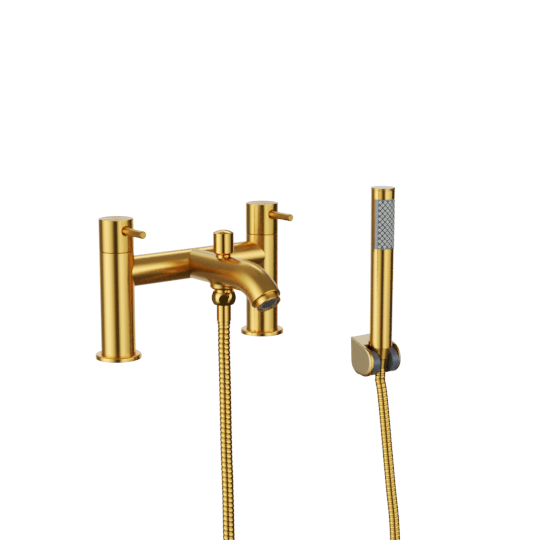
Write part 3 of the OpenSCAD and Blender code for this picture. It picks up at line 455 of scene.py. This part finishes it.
bearing = sky.angle("ARCTAN2", along(to_side), along(to_camera))
height = sky.angle("ARCSINE", along(Vector((0, 0, 1))))
left_panel = sky.window(bearing, (-102, -64), (-60, -2))
right_panel = sky.window(bearing, (9, 32), (40, 72))
panel_height = sky.window(height, (-50, 4), (12, 58))
side_panel = sky.window(bearing, (50, 66), (76, 94)) * sky.window(height, (-18, 9), (14, 44))
rear_panel = sky.step(abs(bearing), 130, 150) * sky.window(height, (-55, -20), (-3, 4))
back_wall = sky.step(abs(bearing), 140, 156) * sky.window(height, (5, 8), (14, 26))
left_card = sky.step(0 - bearing, 136, 150) * sky.window(height, (24, 34), (44, 54))
right_card = sky.step(bearing, 152, 160) * sky.window(height, (34, 40), (48, 56))
panels = (LEFT_LIGHT * left_panel + RIGHT_LIGHT * right_panel) * panel_height + side_panel
dim = DIM + DIM_LEFT * sky.step(0 - bearing, 70, 100) + DIM_HIGH * sky.step(height, 18, 40)
behind = REAR_LIGHT * rear_panel + WALL_LIGHT * back_wall
cards = LEFT_CARD_LIGHT * left_card + RIGHT_CARD_LIGHT * right_card
level = dim + panels + behind + cards
seen = sky.node("ShaderNodeBackground", None, {"Color": (1, 1, 1, 1), "Strength": WHITE})
glow = sky.node("ShaderNodeBackground", None, {"Color": (1, 1, 1, 1), "Strength": level})
camera_ray = sky.node("ShaderNodeLightPath", output="Is Camera Ray")
sky.node("ShaderNodeOutputWorld", None, {
    "Surface": sky.node("ShaderNodeMixShader", None, {0: camera_ray, 1: glow, 2: seen}),
})
print("sky nodes:", len(world.node_tree.nodes))

# %% [markdown]
# Under the set lies a white floor that gives off its own light, so that it looks as white as the sky behind
# it. It isn't seen in reflections and lights nothing, so the metal mirrors only the painted studio and
# itself.

# %% Floor
FLOOR_MIDDLE, FLOOR_HALF = (0.1, 0.0, -0.3616), 6.0
bm = bmesh.new()
bmesh.ops.create_grid(bm, x_segments=1, y_segments=1, size=FLOOR_HALF)
bmesh.ops.translate(bm, verts=bm.verts[:], vec=FLOOR_MIDDLE)
floor = as_piece(bm, "studio_floor", smooth=False)
floor.visible_glossy = False
floor.visible_diffuse = False
floor_look = bpy.data.materials.new("studio_floor")
floor_look.use_nodes = True
web = Web(floor_look.node_tree)
web.node("ShaderNodeOutputMaterial", None, {"Surface": web.node("ShaderNodeBsdfPrincipled", None, {
    "Base Color": (0.9, 0.9, 0.9, 1), "Roughness": 0.8,
    "Emission Color": (1, 1, 1, 1), "Emission Strength": WHITE,
})})
floor.data.materials.append(floor_look)
print("floor at %.4f m" % FLOOR_MIDDLE[2])

# %% [markdown]
# The last part of the studio is its film. One curve turns the light that reaches the camera into the light
# that is shown. It lifts the middle tones most, and the darkest and the lightest least.

# %% Film
FILM = [
    (0.004, 0.006), (0.01, 0.0183), (0.03, 0.0685), (0.077, 0.212),
    (0.125, 0.347), (0.233, 0.521), (0.5, 0.78),
]
ALL_COLOURS = 3
film = bpy.context.scene.view_settings
film.view_transform = "Standard"
film.use_curve_mapping = True
tone = film.curve_mapping.curves[ALL_COLOURS]
for place, shown in FILM:
    tone.points.new(place, shown)
for point in tone.points:
    point.handle_type = "AUTO_CLAMPED"
film.curve_mapping.update()
print("film points:", len(tone.points))

# %% [markdown]
# The plated parts are brushed: fine lines run round each tube, so the finish reads noise that is stretched
# flat. The noise moves the colour and the roughness a little, and tilts the surface a little. Upright tubes
# also get an anisotropic gloss, which draws their highlights out along the tube, as brushing does.

# %% How a finish is made
CLOUD, FADE = 22, (0.3, 0.7)
BRUSH_DEPTH = 0.00002


def finish(name, build, **settings):
    material = bpy.data.materials.new(name)
    material.use_nodes = True
    web = Web(material.node_tree)
    inputs = {key.replace("_", " "): value for key, value in settings.items()}
    inputs.update(build(web))
    web.node("ShaderNodeOutputMaterial", None, {
        "Surface": web.node("ShaderNodeBsdfPrincipled", None, inputs),
    })
    return material


def grain(web, scale, detail=3.0):
    spot = web.node("ShaderNodeTexCoord", output="Object")
    return web.node("ShaderNodeTexNoise", None, {
        "Vector": web.node("ShaderNodeMapping", None, {"Vector": spot, "Scale": scale}),
        "Scale": 1.0, "Detail": detail, "Roughness": 0.6,
    })


def even(size):
    """The same scale in all directions."""
    return (size, size, size)


def raised(web, height, strength, distance):
    return web.node("ShaderNodeBump", None, {"Height": height, "Strength": strength, "Distance": distance})


def brushed(colour, dark, roughness, scale, tilt):
    def build(web):
        lines = grain(web, scale)
        cloud = grain(web, even(CLOUD), 2.0)
        return {
            "Base Color": web.mix(web.step(lines * 0.6 + cloud * 0.4, *FADE), dark, colour),
            "Roughness": roughness - 0.02 + 0.04 * lines,
            "Normal": raised(web, lines, tilt, BRUSH_DEPTH),
        }
    return build


def metal(name, *look, **settings):
    return finish(name, brushed(*look), Metallic=1.0, **settings)


print("brushed finish ready")

# %% [markdown]
# Two golds come near the photograph in this light: a bright one on the body, and a darker copy of it on the
# handles, spout, nuts and hose, which is painted shade. Each metal is a pair of near colours, a roughness,
# the way that its lines run and how much they tilt.

# %% Metals
GOLD, GOLD_DEEP = (0.85, 0.475, 0.12, 1), (0.83, 0.46, 0.115, 1)
# The darker gold is the same gold with painted shade.
SHADED_GOLD, SHADED_GOLD_DEEP = (0.70, 0.395, 0.095, 1), (0.68, 0.38, 0.09, 1)
BRASS, BRASS_DEEP = (0.78, 0.55, 0.24, 1), (0.70, 0.48, 0.20, 1)
STEEL, STEEL_DEEP = (0.62, 0.62, 0.63, 1), (0.52, 0.52, 0.53, 1)
UPRIGHT_LINES, BRIDGE_LINES, SPOUT_LINES = (350, 350, 5200), (5200, 350, 350), (350, 3600, 350)
drawn_out = {"Anisotropic": 0.9, "Anisotropic_Rotation": 0.25}
gold = metal("brushed_gold", GOLD, GOLD_DEEP, 0.25, UPRIGHT_LINES, 0.03, **drawn_out)
shaded_gold_handle = metal("brushed_gold_handle_painted_shade", SHADED_GOLD, SHADED_GOLD_DEEP, 0.25, UPRIGHT_LINES, 0.03, **drawn_out)
gold_bridge = metal("brushed_gold_bridge", GOLD, GOLD_DEEP, 0.24, BRIDGE_LINES, 0.03)
shaded_gold_spout = metal("brushed_gold_spout_painted_shade", SHADED_GOLD, SHADED_GOLD_DEEP, 0.26, SPOUT_LINES, 0.03)
shaded_polished_gold = metal("polished_gold_painted_shade", SHADED_GOLD, SHADED_GOLD_DEEP, 0.1, even(700), 0.02)
# The hose wears the darker gold, which is painted shade.
gold_hose = metal("hose_gold_painted_shade", SHADED_GOLD, SHADED_GOLD_DEEP, 0.13, even(900), 0.03)
turned_brass = metal("turned_brass", BRASS, BRASS_DEEP, 0.32, (400, 400, 6000), 0.2)
steel = metal("plain_steel", STEEL, STEEL_DEEP, 0.3, (500, 500, 5000), 0.15)
print("metals ready")

# %% [markdown]
# Mouldings get a fine grain. The spray plate is pale on its studs and darker between them, and the aerator
# has a paler ring round a dark mesh. Both are painted by their distance from an axis, which a cross product
# gives. Round the studs the plate's margin is painted paler, as a painted reflection. The nozzles' holes get
# painted shade; they stand in slanting rows, which are told by the angle and the height.

# %% Plain mouldings
MOULD_CLOUD, MOULD_DEPTH = 40, 0.00004


def moulded(name, colour, dark, roughness, size, tilt):
    def build(web):
        fine = grain(web, even(size), 2.0)
        cloud = grain(web, even(MOULD_CLOUD), 2.0)
        return {
            "Base Color": web.mix(web.step(cloud, *FADE), dark, colour),
            "Roughness": roughness - 0.06 + 0.12 * fine,
            "Normal": raised(web, fine, tilt, MOULD_DEPTH),
        }
    return finish(name, build)


dark_plastic = moulded("dark_plastic", (0.12, 0.135, 0.16, 1), (0.10, 0.115, 0.14, 1), 0.3, 2600, 0.15)
black_rubber = moulded("black_rubber", (0.022, 0.022, 0.024, 1), (0.014, 0.014, 0.015, 1), 0.6, 3000, 0.35)
ceramic = moulded("lapped_ceramic", (0.82, 0.81, 0.78, 1), (0.76, 0.75, 0.72, 1), 0.25, 1800, 0.05)
print("mouldings ready")

# %% Spray plate
HANDSET_AXIS = ((0.2755, 0.014, 0.0), (0, 0, 1))
STUD_FOOT, STUD_TOP = 13.6, 13.95
PLATE_MIDDLE = (0.2755, 0.014, 0.0986)
PLATE_TURN, STUD_STEP, STUD_RISE = -7, 12, 0.006375
HOLE_SHADE_EDGE, FIELD_COLUMNS, FIELD_ROWS = (0.09, 0.17), (4.5, 5.2), (4.1, 4.6)
# The margin colour is a painted reflection, paler than the ground.
MARGIN_PAINTED_SHEEN, GROUND_GREY = (0.28, 0.31, 0.35, 1), (0.085, 0.10, 0.115, 1)
# The holes' colour is painted shade.
STUD_PALE, HOLE_PAINTED_SHADE = (0.66, 0.68, 0.63, 1), (0.05, 0.055, 0.06, 1)


def from_axis(web, point, way):
    """Distance in millimetres from the axis through a point."""
    spot = web.node("ShaderNodeTexCoord", output="Object")
    offset = web.node("ShaderNodeVectorMath", {"operation": "SUBTRACT"}, {0: spot, 1: point})
    turned = web.node("ShaderNodeVectorMath", {"operation": "CROSS_PRODUCT"}, {0: offset, 1: way})
    return 1000 * web.node("ShaderNodeVectorMath", {"operation": "LENGTH"}, {0: turned}, output="Value")


def off_whole(web, value):
    """Distance of a number from the nearest whole number."""
    return abs(web.arithmetic("FRACT", value + 0.5) - 0.5)


def studded(web):
    spot = web.node("ShaderNodeTexCoord", output="Object")
    offset = web.node("ShaderNodeVectorMath", {"operation": "SUBTRACT"}, {0: spot, 1: PLATE_MIDDLE})
    x, y, z = (web.node("ShaderNodeSeparateXYZ", None, {0: offset}, output=axis) for axis in "XYZ")
    column = (web.angle("ARCTAN2", x, 0 - y) - PLATE_TURN) / STUD_STEP
    row = z / STUD_RISE
    rising = web.step(off_whole(web, column / 2 + row), *HOLE_SHADE_EDGE)
    falling = web.step(off_whole(web, column / 2 - row), *HOLE_SHADE_EDGE)
    top = web.step(from_axis(web, *HANDSET_AXIS), STUD_FOOT, STUD_TOP)
    field = (1 - web.step(abs(column), *FIELD_COLUMNS)) * (1 - web.step(abs(row), *FIELD_ROWS))
    # Outside the stud field the plate is painted paler: a painted reflection.
    ground_with_margin_sheen = web.mix(field, MARGIN_PAINTED_SHEEN, GROUND_GREY)
    paint = web.mix(top, ground_with_margin_sheen, STUD_PALE)
    return {
        # The nozzles' holes are painted dark: painted shade.
        "Base Color": web.mix((1 - rising) * (1 - falling) * top, paint, HOLE_PAINTED_SHADE),
        "Roughness": 0.42 + 0.1 * grain(web, even(2200), 2.0),
    }


spray_plastic = finish("spray_plastic", studded)
print("plate painted")

# %% Aerator
MOUTH_AXIS = ((0.0, -0.12328, 0.06702), (0, -0.682, -0.7314))
MESH_R, RING_R = 7.0, 9.7
MESH_DARK, RING_GREY = (0.09, 0.095, 0.095, 1), (0.22, 0.225, 0.22, 1)


def sieve(web):
    ring = web.window(
        from_axis(web, *MOUTH_AXIS), (MESH_R - 0.3, MESH_R + 0.3), (RING_R - 0.2, RING_R + 0.2)
    )
    return {"Base Color": web.mix(ring, MESH_DARK, RING_GREY), "Roughness": 0.5 - 0.1 * ring}


mesh_plastic = finish("aerator_plastic", sieve)
print("aerator painted")

# %% [markdown]
# The wall bracket's flat cheeks are a paler satin than its polished rims, so they are told by their distance
# from the bracket's middle. Its top and the top of the handset's end cap get a painted sheen, a painted
# reflection, and are told by the way they face. The rest of the bracket wears the darker gold, with painted
# shade. The solid's rims are made of a few sloping steps, which a Bevel node shades as one round.

# %% Bracket and end cap
CHEEK_FLAT, CHEEK_EDGE = 0.0239, 0.0003
EDGE_ROUND = 0.0012
UPWARD = (0.88, 0.93)
# The cap's pale top is a painted sheen.
CHEEK_SATIN, CAP_PAINTED_SHEEN = (0.60, 0.465, 0.265, 1), (0.92, 0.84, 0.68, 1)


def painted_sheen_on_tops(web):
    """1 where a face looks nearly straight up, 0 elsewhere: where a painted sheen goes."""
    way = web.node("ShaderNodeTexCoord", output="Normal")
    return web.step(web.node("ShaderNodeSeparateXYZ", None, {0: way}, output="Z"), *UPWARD)


def bracket(web):
    spot = web.node("ShaderNodeTexCoord", output="Object")
    out = abs(web.node("ShaderNodeSeparateXYZ", None, {0: spot}) - HANDSET_AXIS[0][0])
    flat = web.step(out, CHEEK_FLAT - CHEEK_EDGE, CHEEK_FLAT)
    # Tops get a painted sheen and the rest the darker gold with painted shade; the cheeks' satin is their own
    # finish.
    satin_and_painted_sheen = flat + painted_sheen_on_tops(web) * (1 - flat)
    return {
        "Base Color": web.mix(satin_and_painted_sheen, SHADED_GOLD, CHEEK_SATIN),
        "Roughness": 0.11 + 0.18 * satin_and_painted_sheen + 0.04 * grain(web, even(700)),
        "Normal": web.node("ShaderNodeBevel", {"samples": 6}, {"Radius": EDGE_ROUND}),
    }


def cap_with_painted_sheen(web):
    return {
        # The cap's top gets a painted sheen, a painted reflection.
        "Base Color": web.mix(painted_sheen_on_tops(web), GOLD, CAP_PAINTED_SHEEN),
        "Roughness": 0.2 + 0.04 * grain(web, UPRIGHT_LINES),
    }


gold_bracket = finish("bracket_gold_painted_light", bracket, Metallic=1.0)
gold_cap_with_painted_sheen = finish("cap_gold_painted_sheen", cap_with_painted_sheen, Metallic=1.0)
print("bracket and cap ready")

# %% [markdown]
# Each solid names the material it is made of, which gives its usual finish. A few have their own: their lines
# run another way, their gold is the darker copy with painted shade, or they are polished or painted.

# %% Which solid wears which finish
slot_finish = {
    "gold_brass": gold, "plain_brass": turned_brass, "gold_hose": gold_hose, "black_rubber": black_rubber,
    "steel": steel, "ceramic": ceramic, "dark_plastic": dark_plastic, "spray_plastic": spray_plastic,
}
own_finish = {
    "bridge_tube": gold_bridge, "bracket_shell": gold_bracket, "handset_cap": gold_cap_with_painted_sheen,
    "aerator_insert": mesh_plastic,
}
own_finish |= dict.fromkeys(("left_handle", "right_handle"), shaded_gold_handle)
own_finish |= dict.fromkeys(("left_lever", "right_lever", "spout"), shaded_gold_spout)
own_finish |= dict.fromkeys(
    ("union_nut", "mixer_ferrule", "diverter_knob", "cone_nut", "handset_ferrule"), shaded_polished_gold
)


def wear(piece, material):
    piece.data.materials.clear()
    piece.data.materials.append(material)


for part in frame["record"]["subparts"]:
    wear(nodes[part["node"]], own_finish.get(part["node"], slot_finish[part["material_slot"]]))
for piece in (hose_mixer, hose_lower, hose_upper):
    wear(piece, gold_hose)
wear(spring, steel)
print("finishes:", len(bpy.data.materials))

# %% [markdown]

# %% End
print("end of the dressing")
